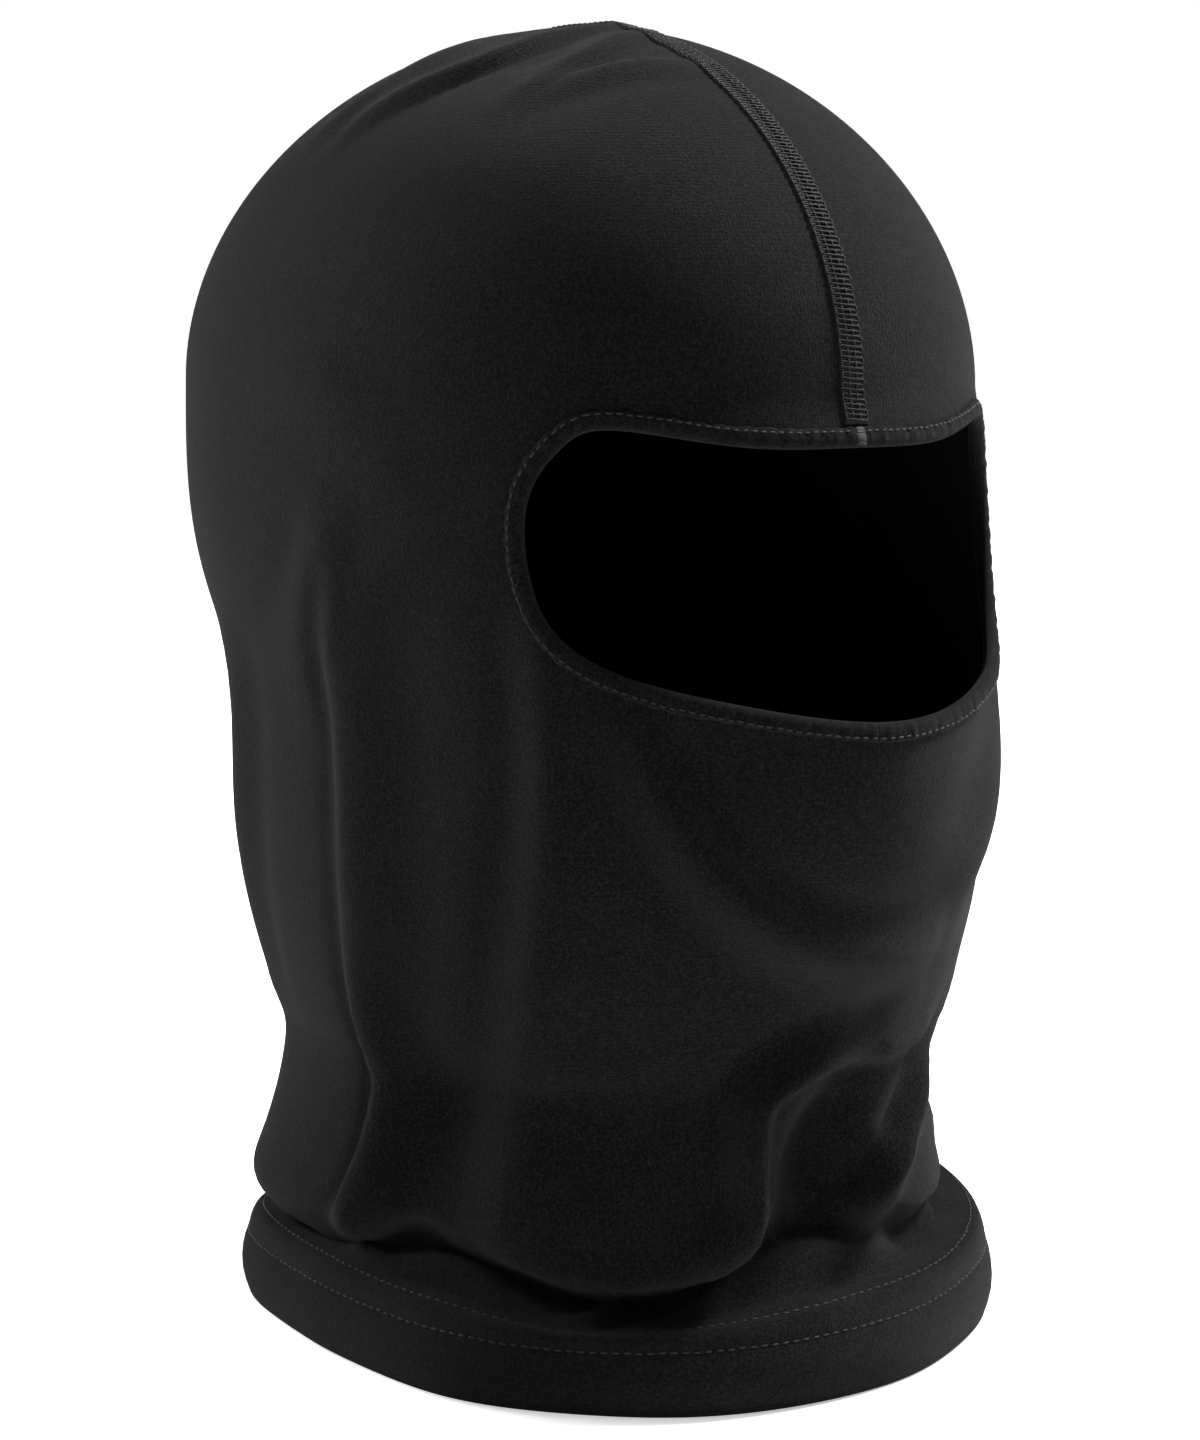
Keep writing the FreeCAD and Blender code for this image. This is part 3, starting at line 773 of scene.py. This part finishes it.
binding_section = [(3.85, 0.12), (3.9, 0.38), (3.5, 0.66), (2.7, 0.84), (1.8, 0.84), (1.0, 0.6), (0.4, 0.12),
                   (0.08, -0.75), (0.4, -1.6), (1.0, -2.1), (1.8, -2.35), (2.8, -2.38), (3.6, -2.3),
                   (3.9, -2.0), (3.85, -1.7), (2.6, -1.62), (1.4, -1.62), (0.85, -1.3), (0.72, -0.75),
                   (0.85, -0.25), (1.4, 0.03), (2.6, 0.06)]
binding_gap = 0.25
binding_run = np.linspace(binding_gap / 2, edge_total - binding_gap / 2, 640)
pucker, drift = (sum(size * np.sin(binding_run * rate + start) for size, rate, start in waves) for waves in (
    [(0.10, 1.31, 0), (0.07, 2.17, 1), (0.05, 3.3, 0)], [(0.16, 0.11, 2), (0.1, 0.29, 0)]))
ends = np.minimum(binding_run - binding_run[0], binding_run[-1] - binding_run)
pressed = np.clip(ends / 2.0, 0, 1)
rings = []
for across, lift in binding_section:
    outer_share = np.clip((across - 0.8) / 2.4, 0, 1)
    wavy = across + (pucker + drift) * outer_share
    top = max(lift, 0.0)
    raised = lift + pucker * 0.9 * min(1.0, top * 2) - 0.25 * (1 - pressed) * min(1.0, top)
    rings.append(on_edge(binding_run, wavy, raised)[0])
binding_piece = sweep("edge_binding", np.stack(rings, 1), False)
binding_material = patterned("folded_jersey_binding", knit, "run", (0.005, 0.005, 0.0052, 1), 1500.0, 0.6,
                             knit_depth, 0.9, knit_gloss, 0.03)
fit(binding_piece, binding_material, "face_binding")

# ==== Stitches of the binding =======================================================================
# One row of chain stitch in fine black polyester thread, close to the outer side of the binding, with
# its looper thread inside. The bar over the join is a few stitches side by side.

# One stitch lying along X: a short round of thread whose ends dip through the fabric.
bpy.ops.object.select_all(action="DESELECT")
bpy.ops.mesh.primitive_uv_sphere_add(segments=6, ring_count=6, radius=1.0, rotation=(0, math.pi / 2, 0))
stitch_model = bpy.context.object
bpy.ops.object.transform_apply(rotation=True)
bpy.ops.object.mode_set(mode="EDIT")
bpy.ops.mesh.select_all(action="DESELECT")
stitch_bm = bmesh.from_edit_mesh(stitch_model.data)
for vert in stitch_bm.verts:
    vert.select = abs(vert.co.x) > 0.8
stitch_bm.select_flush(True)
bmesh.update_edit_mesh(stitch_model.data)
bpy.ops.transform.translate(value=(0, 0, -0.9))
bpy.ops.object.mode_set(mode="OBJECT")
stitch_verts = np.array([vert.co[:] for vert in stitch_model.data.vertices])
stitch_faces = [tuple(face.vertices) for face in stitch_model.data.polygons]
stitch_around = np.arctan2(stitch_verts[:, 1], stitch_verts[:, 2]) / math.tau
bpy.data.objects.remove(stitch_model)
sewing = np.random.default_rng(11)


def stitch_row(name, starts, finishes, normals, radius):
    """Stitches from each start to its finish, lying on the side the normals point to."""
    count = len(starts)
    along = finishes - starts
    reach = np.linalg.norm(along, axis=1, keepdims=True)
    along = along / reach
    side = unit(np.cross(normals, along))
    up = np.cross(along, side)
    middle = (starts + finishes) / 2 + side * sewing.normal(0, 0.05, (count, 1))
    stout = radius * sewing.uniform(0.9, 1.1, (count, 1, 1))
    grid = middle[:, None] + along[:, None] * stitch_verts[None, :, :1] * reach[:, None] * 0.5
    grid = grid + side[:, None] * stitch_verts[None, :, 1:2] * stout
    grid = grid + up[:, None] * stitch_verts[None, :, 2:] * stout
    size = len(stitch_verts)
    skin = [tuple(index + size * number for index in face)
            for number in range(count) for face in stitch_faces]
    piece = skinned(name, grid, skin)
    lay_map(piece, "run", np.tile(stitch_verts[:, 0] * 0.5 * reach.mean() * mm, count),
            np.tile(stitch_around, count))
    return piece


def thread_tube(name, points, normals, radius, sides=6):
    """Round thread through points."""
    along = unit(np.gradient(points, axis=0))
    side = unit(np.cross(normals, along))
    up = np.cross(along, side)
    turn = np.arange(sides) / sides * math.tau
    ring = side[:, None] * np.cos(turn)[None, :, None] + up[:, None] * np.sin(turn)[None, :, None]
    return sweep(name, points[:, None] + ring * radius, False)


# Twisted thread: two plies seen as slanting ribs along the run.
twist, twist_in, run_axes = pattern_group("twisted_thread", "Run", "Turns")
ply_turn = maths(twist, "ADD", maths(twist, "MULTIPLY", run_axes[0], twist_in["Turns"]),
                 maths(twist, "MULTIPLY", run_axes[1], 2.0))
plies = maths(twist, "ABSOLUTE", maths(twist, "SINE", maths(twist, "MULTIPLY", ply_turn, math.pi)))
wear = noise(twist, twist_in["Place"], 700.0, 2.0, 0.6)
thread_tone = maths(twist, "ADD", maths(twist, "MULTIPLY", plies, 0.5), maths(twist, "MULTIPLY", wear, 1.1))
end_group(twist, twist_in["Dye"], thread_tone, plies)


def thread_material(name, dye, roughness):
    """Dyed thread."""
    return patterned(name, twist, "run", dye, 2400.0, 0.5, 0.0001, roughness, 0.25)


sewing_thread = thread_material("black_sewing_thread", (0.015, 0.015, 0.015, 1), 0.5)

edge_pitch = 1.9
edge_start = 1.5                # from the join to the first stitch
shown_share = 0.82              # of each stitch, before it dips to the next
edge_stitches = round((edge_total - 2 * edge_start) / edge_pitch)
stitch_starts = edge_start + np.arange(edge_stitches) * edge_pitch
row_across = 3.15
row_lift = 0.80
start_place, row_normal = on_edge(stitch_starts, row_across, row_lift)
finish_place = on_edge(stitch_starts + edge_pitch * shown_share, row_across, row_lift)[0]
binding_row = stitch_row("binding_stitches", start_place, finish_place, row_normal, 0.2)
fit(binding_row, sewing_thread, "binding_needle_thread")

looper_turns = edge_stitches * 2
looper_run = edge_start + np.linspace(0, edge_stitches * edge_pitch, looper_turns * 3 + 1)
looper_swing = np.cos(np.arange(len(looper_run)) * math.pi / 3)
looper_points, looper_normal = on_edge(looper_run, 2.5 + 0.7 * looper_swing, -2.55)
binding_looper = thread_tube("binding_looper", looper_points, -looper_normal, 0.14)
fit(binding_looper, sewing_thread, "binding_looper_thread")

bar_count = 12
bar_reach = 1.4                 # to each side of the join
bar_across = np.linspace(0.55, 3.75, bar_count)
bar_lift = np.interp(bar_across, [0.3, 1.0, 1.8, 2.7, 3.6], [0.35, 0.72, 0.95, 0.95, 0.78])
bar_starts = on_edge(np.full(bar_count, edge_total - bar_reach), bar_across, bar_lift)[0]
bar_finishes = on_edge(np.full(bar_count, bar_reach), bar_across, bar_lift)[0]
bar_normal = on_edge(np.zeros(bar_count), bar_across)[1]
bartack = stitch_row("join_bartack", bar_starts, bar_finishes, bar_normal, 0.2)
fit(bartack, sewing_thread, "binding_join_bartack")

# ==== Flat seam over the crown and down the back ====================================================
# The two edges of the panel lie side by side under a flat seam of soft textured nylon thread: a cover
# thread that crosses from side to side, four rows of needle thread over it, and a looper thread inside.

seam_half = 2.65
seam_front_start = 199.3
cap_edge = 324.0
front_lengths = np.arange(seam_front_start, cap_edge, 1.0)
back_lengths = np.arange(cap_edge, 1.6, -1.0)
seam_line = np.concatenate([hood(0.0, front_lengths), hood(180.0, back_lengths)])
line_length = np.concatenate([front_lengths, back_lengths])
line_side = np.concatenate([np.zeros(len(front_lengths)), np.full(len(back_lengths), 180.0)])
line_run = travelled(seam_line)
seam_total = line_run[-1]
seam_step = 0.8
seam_rows = np.arange(0, seam_total, seam_step)
seam_middle = np.stack([np.interp(seam_rows, line_run, seam_line[:, axis]) for axis in range(3)], 1)
seam_length = np.interp(seam_rows, line_run, line_length)
on_front = np.interp(seam_rows, line_run, line_side) < 90
seam_out = unit(np.cross([1.0, 0, 0], np.gradient(seam_middle, axis=0)))
seam_grid_step = 0.7
seam_across = np.arange(-5, 6) * seam_grid_step
seam_grid = np.zeros((len(seam_rows), len(seam_across), 3))
slump_end = 64                  # below it the hood folds over itself, and rays would meet the wrong layer
low_back = ~on_front & (seam_length < slump_end)
ray_start = 7
for row in np.where(~low_back)[0]:
    for column, across in enumerate(seam_across):
        start = Vector(seam_middle[row] + seam_out[row] * ray_start) + Vector((across, 0, 0))
        seam_grid[row, column] = hood_bvh.ray_cast(start, Vector(-seam_out[row]))[0]
low_lengths = seam_length[low_back]
degree = np.linalg.norm(hood(180.5, low_lengths) - hood(179.5, low_lengths), axis=-1)
for column, across in enumerate(seam_across):
    seam_grid[low_back, column] = hood(180 - across / degree, low_lengths)
on_seam = laid_grid(seam_grid, seam_step, seam_across[0], seam_grid_step)

overlock_thread = thread_material("textured_black_overlock_thread", (0.0045, 0.0045, 0.0047, 1), 0.7)

# Cover thread: a bed of crossing threads, and the strands that stand out of it.
bed_shape = [(-2.9, -0.05), (-2.9, 0.2), (-2.5, 0.42), (-1.75, 0.22), (-0.9, 0.36), (0, 0.22), (0.9, 0.36),
             (1.75, 0.22), (2.5, 0.42), (2.9, 0.2), (2.9, -0.05)]
bed_run = np.arange(0.2, seam_total - 0.2, 0.9)
bed_wave = 0.08 * np.sin(bed_run * 1.7)
bed = np.stack([on_seam(bed_run, across + bed_wave * np.sign(across), lift)[0]
                for across, lift in bed_shape], 1)
cover_bed = sweep("seam_cover_bed", bed, False)
seam_pitch = 2.1
cells = int((seam_total - 1.0) / seam_pitch)
strands = []
for phase in (0.0, 1.0):
    steps = np.arange(cells * 8 + 1)
    strand_run = 0.5 + steps * seam_pitch / 8
    turn = steps * math.pi / 4 + phase * math.pi
    squared = np.clip(np.cos(turn) * 1.35, -1, 1)
    strand_lift = 0.42 + 0.1 * np.sin(turn)
    strand_points, strand_normal = on_seam(strand_run, squared * seam_half, strand_lift)
    strands.append(thread_tube("strand", strand_points, strand_normal, 0.17))
choose(cover_bed, *strands)
bpy.ops.object.join()
cover_bed.name = "seam_cover"
fit(cover_bed, overlock_thread, "seam_cover_thread")

needle_rows = 4
needle_lift = 0.5
row_parts = []
for row in range(needle_rows):
    across = -seam_half + 2 * seam_half * row / (needle_rows - 1)
    runs = 0.8 + np.arange(cells - 1) * seam_pitch + 0.5 * (row % 2)
    begin, outward = on_seam(runs, across, needle_lift)
    finish = on_seam(runs + seam_pitch * 0.86, across, needle_lift)[0]
    row_parts.append((begin, finish, outward))
needle_threads = stitch_row("seam_needle_rows", *map(np.concatenate, zip(*row_parts)), 0.24)
fit(needle_threads, overlock_thread, "seam_needle_threads")

inner_total = seam_total - 29.0               # it ends above the hem's raw edge
inner_cells = int(inner_total / seam_pitch)
steps = np.arange(inner_cells * 6 + 1)
inner_run = 0.5 + steps * seam_pitch / 6
inner_points, inner_normal = on_seam(inner_run, seam_half * np.cos(steps * math.pi / 3), -fabric - 0.22)
seam_looper = thread_tube("seam_looper", inner_points, -inner_normal, 0.2)
fit(seam_looper, overlock_thread, "seam_looper_thread")

# ==== Stitches of the hem ===========================================================================
# Twin-needle stitching in sewing thread: two rows outside that catch the turned-up edge, and one looper
# thread that crosses between them inside.


def hem_row(name, row_length, node):
    """Row of stitches right round the hem."""
    fine = np.linspace(-180, 180, 1441)
    gone = travelled(hood(fine, row_length))
    count = round(gone[-1] / hem_pitch)
    starts = np.arange(count) * gone[-1] / count
    finishes = starts + hem_pitch * 0.78
    start_azimuth = np.interp(starts, gone, fine)
    finish_azimuth = np.interp(finishes, gone, fine)
    from_seam = (180 - np.abs(start_azimuth)) * hem_degree
    lift = np.where(from_seam < seam_cleared, row_height + seam_hop, row_height)[:, None]
    normal = normals_of(hood, start_azimuth, np.full(count, row_length))
    begin = hood(start_azimuth, row_length) + normal * lift
    finish = hood(finish_azimuth, row_length) + normal * lift
    row = stitch_row(name, begin, finish, normal, 0.21)
    fit(row, sewing_thread, node)


hem_pitch = 2.35
hem_degree = 1.25               # millimetres for each degree round the back of the hem
row_height = 0.12
seam_cleared = 3.4              # the rows climb over the flat seam within this distance of its middle
seam_hop = 0.62
hem_row("hem_stitches_lower", lower_stitch, "hem_needle_thread_lower")
hem_row("hem_stitches_upper", upper_stitch, "hem_needle_thread_upper")

hem_cells = 190
steps = np.arange(hem_cells * 6)
looper_azimuth = steps / len(steps) * 360 - 179.5
middle_length = (lower_stitch + upper_stitch) / 2
half_length = (upper_stitch - lower_stitch) / 2
looper_length = middle_length + half_length * np.cos(steps * math.pi / 3)
inner_depth = np.where(looper_length < turn_up + 0.4, turned + 0.18, fabric + 0.2)
looper_normals = normals_of(form, looper_azimuth, looper_length)
looper_places = beneath(looper_azimuth, looper_length, inner_depth)
hem_looper = thread_tube("hem_looper", looper_places, -looper_normals, 0.17)
fit(hem_looper, sewing_thread, "hem_looper_thread")

# ==== Care label ====================================================================================
# A blank satin label, sewn by its top edge to the inside of the back seam, hanging free.

label_width = 24.0
label_height = 30.0
label_top = 82.0
label_u = np.linspace(-0.5, 0.5, 15)
label_v = np.linspace(0, 1, 19)
label_across, label_down = np.meshgrid(label_u * label_width, label_v)
label_length = label_top - label_down * label_height
label_degree = np.linalg.norm(hood(180.5, label_top) - hood(179.5, label_top))
label_azimuth = 180 - label_across / label_degree
hang = 1.75 + 2.6 * label_down ** 1.5 + 0.5 * np.sin(label_across * 0.35 + 1) * label_down
label_place = beneath(label_azimuth, label_length, hang)
across_count = len(label_u)
label_skin = [(i * across_count + j, i * across_count + j + 1, (i + 1) * across_count + j + 1,
               (i + 1) * across_count + j) for i in range(len(label_v) - 1) for j in range(across_count - 1)]
label_piece = skinned("sewn_label", label_place, label_skin)
lay_map(label_piece, "weave", label_across.ravel() * mm, label_down.ravel() * label_height * mm)
thicken(label_piece, 0.3 * mm, 0)

satin, satin_tree, satin_shader = new_material("white_label_satin")
satin_map = new_node(satin_tree, "ShaderNodeUVMap", uv_map="weave")
satin_threads = scaled(satin_tree, satin_map.outputs[0], (6000.0, 500.0, 1.0))
satin_weave = noise(satin_tree, satin_threads, 1.0, 2.0, 0.5)
satin_colour = new_node(satin_tree, "ShaderNodeValToRGB")
satin_colour.color_ramp.elements[0].color = (0.55, 0.55, 0.53, 1)
satin_colour.color_ramp.elements[1].color = (0.82, 0.82, 0.80, 1)
satin_tree.links.new(satin_weave, satin_colour.inputs[0])
satin_tree.links.new(satin_colour.outputs[0], satin_shader.inputs["Base Color"])
raise_surface(satin_tree, satin_shader, satin_weave, 0.3, 0.0001)
satin_shader.inputs["Roughness"].default_value = 0.35
fit(label_piece, satin, "care_label")

label_stitches = 9
label_pitch = 2.3
label_stitch_reach = 1.8
stitch_depth = 2.05             # under the hood's face, on the label
stitch_spots = (np.arange(label_stitches) - label_stitches / 2 + 0.1) * label_pitch
stitch_azimuth = 180 - stitch_spots / label_degree
finish_azimuth = 180 - (stitch_spots + label_stitch_reach) / label_degree
stitch_level = label_top - 1.7
stitch_out = normals_of(form, stitch_azimuth, np.full(label_stitches, stitch_level))
label_begin = hood(stitch_azimuth, stitch_level) - stitch_out * stitch_depth
label_finish = hood(finish_azimuth, stitch_level) - stitch_out * stitch_depth
label_row = stitch_row("label_stitches", label_begin, label_finish, -stitch_out, 0.18)
fit(label_row, sewing_thread, "care_label_stitch")

# ==== Studio ========================================================================================
# A white backdrop, soft light, and a white floor that glows with painted light and holds a painted contact
# shadow round the hem. The key light stands at the wearer's left front, a weaker one behind the wearer's
# right shoulder draws the edge of the hood.
camera_data = bpy.data.cameras.new("camera")
camera_data.sensor_fit = "VERTICAL"
camera_data.sensor_height = 36
camera_data.lens = 3012.7 / 1440 * 36
camera = bpy.data.objects.new("camera", camera_data)
bpy.context.collection.objects.link(camera)
camera.location = (-0.3725, -0.5634, 0.2282)
looking = Vector((0.54571, 0.82528, -0.14533))
camera.rotation_euler = looking.to_track_quat("-Z", "Y").to_euler()
bpy.context.scene.camera = camera
bpy.context.scene.view_settings.view_transform = "Standard"

bpy.ops.object.select_all(action="DESELECT")
bpy.ops.mesh.primitive_plane_add(size=200, location=(0, 0, 0))
floor = bpy.context.object
floor.name = "floor"
floor_paint, floor_tree, floor_shader = new_material("pale_floor")
floor_shader.inputs["Base Color"].default_value = (0.9, 0.9, 0.9, 1)
floor_shader.inputs["Roughness"].default_value = 0.9
floor_shader.inputs["Specular IOR Level"].default_value = 0.1
floor_shader.inputs["Emission Color"].default_value = (1, 1, 1, 1)
floor_seen = new_node(floor_tree, "ShaderNodeLightPath")
floor_place = new_node(floor_tree, "ShaderNodeTexCoord")


def ring_ramp(vector, near, far, low, high):
    """Value that goes from low to high as the length of a vector goes from near to far."""
    reach = new_node(floor_tree, "ShaderNodeVectorMath", operation="LENGTH")
    floor_tree.links.new(vector, reach.inputs[0])
    ramp = new_node(floor_tree, "ShaderNodeMapRange")
    for socket_name, value in zip(("From Min", "From Max", "To Min", "To Max"), (near, far, low, high)):
        ramp.inputs[socket_name].default_value = value
    floor_tree.links.new(reach.outputs["Value"], ramp.inputs["Value"])
    return ramp.outputs[0]


# The floor glows with painted light: a little for every ray, more to the eye, and more the farther it lies
# from the hood. Under the hood the glow is gone, and it fades in a narrow band at the hem, a painted contact
# shadow.
painted_floor_glow = ring_ramp(floor_place.outputs["Object"], 0.15, 0.9, 0.3, 0.65)
glow = maths(floor_tree, "MULTIPLY", floor_seen.outputs["Is Camera Ray"], painted_floor_glow)
glow = maths(floor_tree, "ADD", glow, 0.22)
hem_half_width, hem_half_depth, hem_middle = 0.074, 0.083, -0.0085
from_hem = new_node(floor_tree, "ShaderNodeVectorMath", operation="MULTIPLY_ADD")
from_hem.inputs[1].default_value = (1 / hem_half_width, 1 / hem_half_depth, 0)
from_hem.inputs[2].default_value = (0, -hem_middle / hem_half_depth, 0)
floor_tree.links.new(floor_place.outputs["Object"], from_hem.inputs[0])
# Painted shadow: the floor's glow fades to nothing under and at the hem.
glow = maths(floor_tree, "MULTIPLY", glow, ring_ramp(from_hem.outputs[0], 0.95, 1.08, 0.0, 1.0))
floor_tree.links.new(glow, floor_shader.inputs["Emission Strength"])
floor.data.materials.append(floor_paint)

# The backdrop is white to look at, and gives the hood a weaker, even light.
world = bpy.data.worlds.new("studio")
bpy.context.scene.world = world
world.use_nodes = True
sky = world.node_tree
even_light = sky.nodes["Background"]
even_light.inputs["Color"].default_value = (1, 1, 1, 1)
even_light.inputs["Strength"].default_value = 0.2
backdrop = new_node(sky, "ShaderNodeBackground")
backdrop.inputs["Color"].default_value = (1, 1, 1, 1)
backdrop.inputs["Strength"].default_value = 1.0
seen = new_node(sky, "ShaderNodeLightPath")
either = new_node(sky, "ShaderNodeMixShader")
sky.links.new(seen.outputs["Is Camera Ray"], either.inputs[0])
sky.links.new(even_light.outputs[0], either.inputs[1])
sky.links.new(backdrop.outputs[0], either.inputs[2])
sky.links.new(either.outputs[0], sky.nodes["World Output"].inputs["Surface"])


def softbox(name, place, target, size, power):
    """Square soft light aimed at a point."""
    data = bpy.data.lights.new(name, "AREA")
    data.shape = "SQUARE"
    data.size = size
    data.energy = power
    lamp = bpy.data.objects.new(name, data)
    bpy.context.collection.objects.link(lamp)
    lamp.location = place
    lamp.rotation_euler = (Vector(target) - Vector(place)).to_track_quat("-Z", "Y").to_euler()


softbox("key", (0.88, -0.2, 1.2), (0, 0, 0.18), 0.4, 52)
softbox("rim", (-0.62, 0.95, 0.6), (0, 0, 0.15), 0.5, 15)
softbox("top", (-0.1, 0.2, 1.3), (0, 0, 0.1), 0.8, 7)
